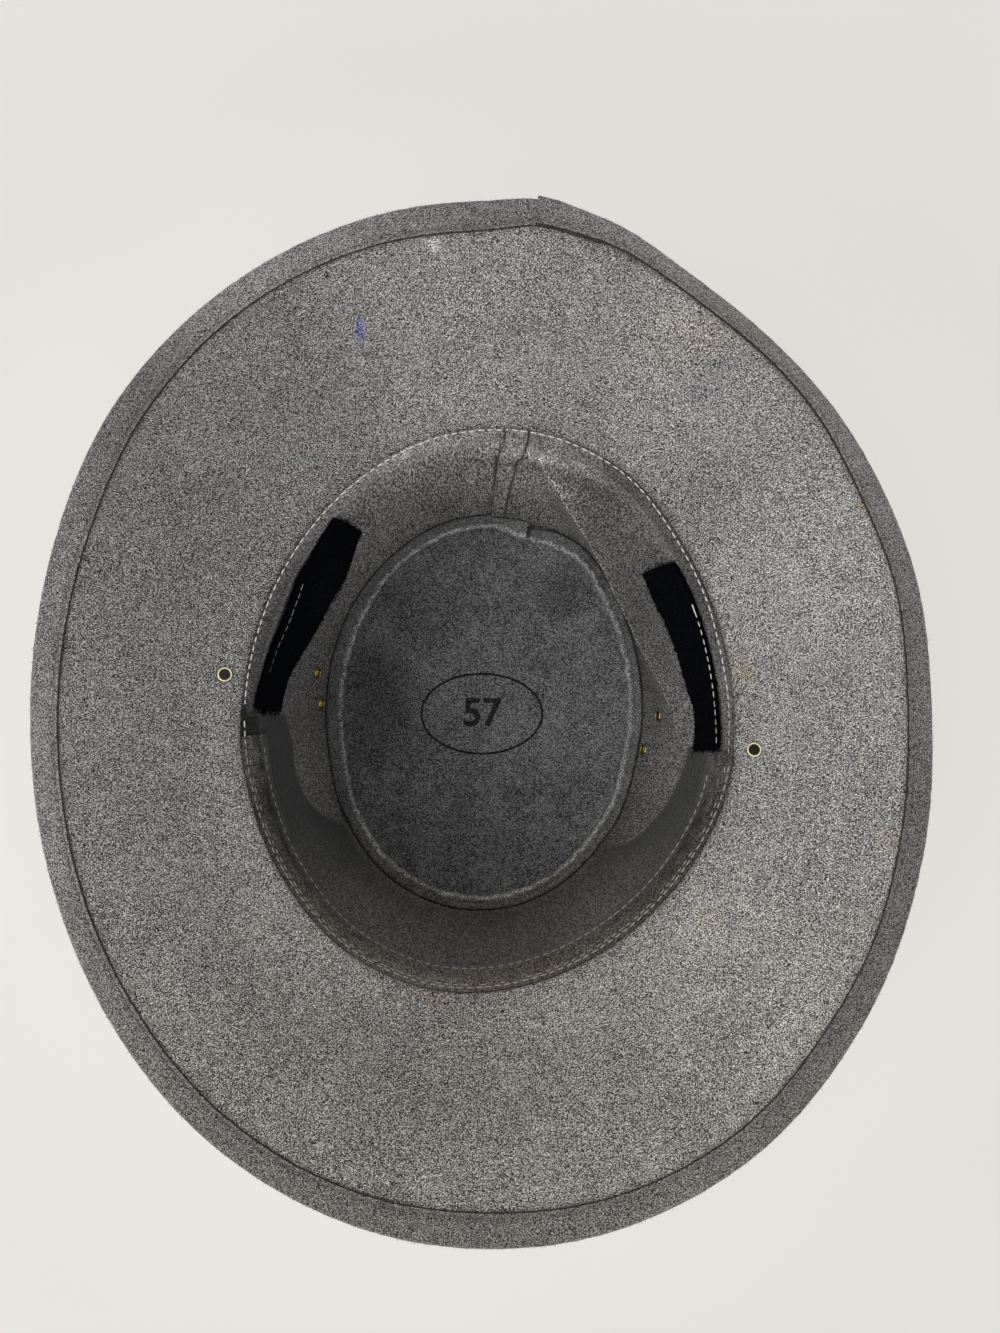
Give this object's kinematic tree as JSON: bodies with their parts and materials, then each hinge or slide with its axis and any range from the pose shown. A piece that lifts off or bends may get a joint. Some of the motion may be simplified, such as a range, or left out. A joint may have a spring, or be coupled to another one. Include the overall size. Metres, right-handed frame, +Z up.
{
  "type": "outback hat",
  "caption": "Grey felt outback hat with a wide bound brim, lying upside down on its flat crown, with an inner sweat panel, fastener strips and brass eyelets.",
  "frame": {"origin": "middle of the crown tip's outer face, on the surface that the upturned hat lies on", "axes": "+Z up out of the hat's opening, +Y to the back of the hat, +X to the wearer's right"},
  "size_m": [0.3031, 0.3447, 0.1204],
  "materials": {
    "brim_felt": "grey melange felt, matt and slightly fuzzy",
    "crown_felt": "grey melange felt, matt, darkened by wear",
    "tip_felt": "dark grey felt, matt",
    "fastener_tape": "black hook-and-loop pile",
    "eyelet_brass": "polished, a little tarnished"
  },
  "bodies": {
    "root": {"crown_tip": "tip_felt", "crown_side": "crown_felt", "tip_binding": "tip_felt", "brim": "brim_felt", "brim_binding": "brim_felt", "front_panel": "crown_felt", "fastener_strip_left": "fastener_tape", "fastener_strip_right": "fastener_tape", "brim_eyelet_left": "eyelet_brass", "brim_eyelet_right": "eyelet_brass", "crown_eyelet_left_front": "eyelet_brass", "crown_eyelet_left_back": "eyelet_brass", "crown_eyelet_right_front": "eyelet_brass", "crown_eyelet_right_back": "eyelet_brass"}
  },
  "joints": []
}
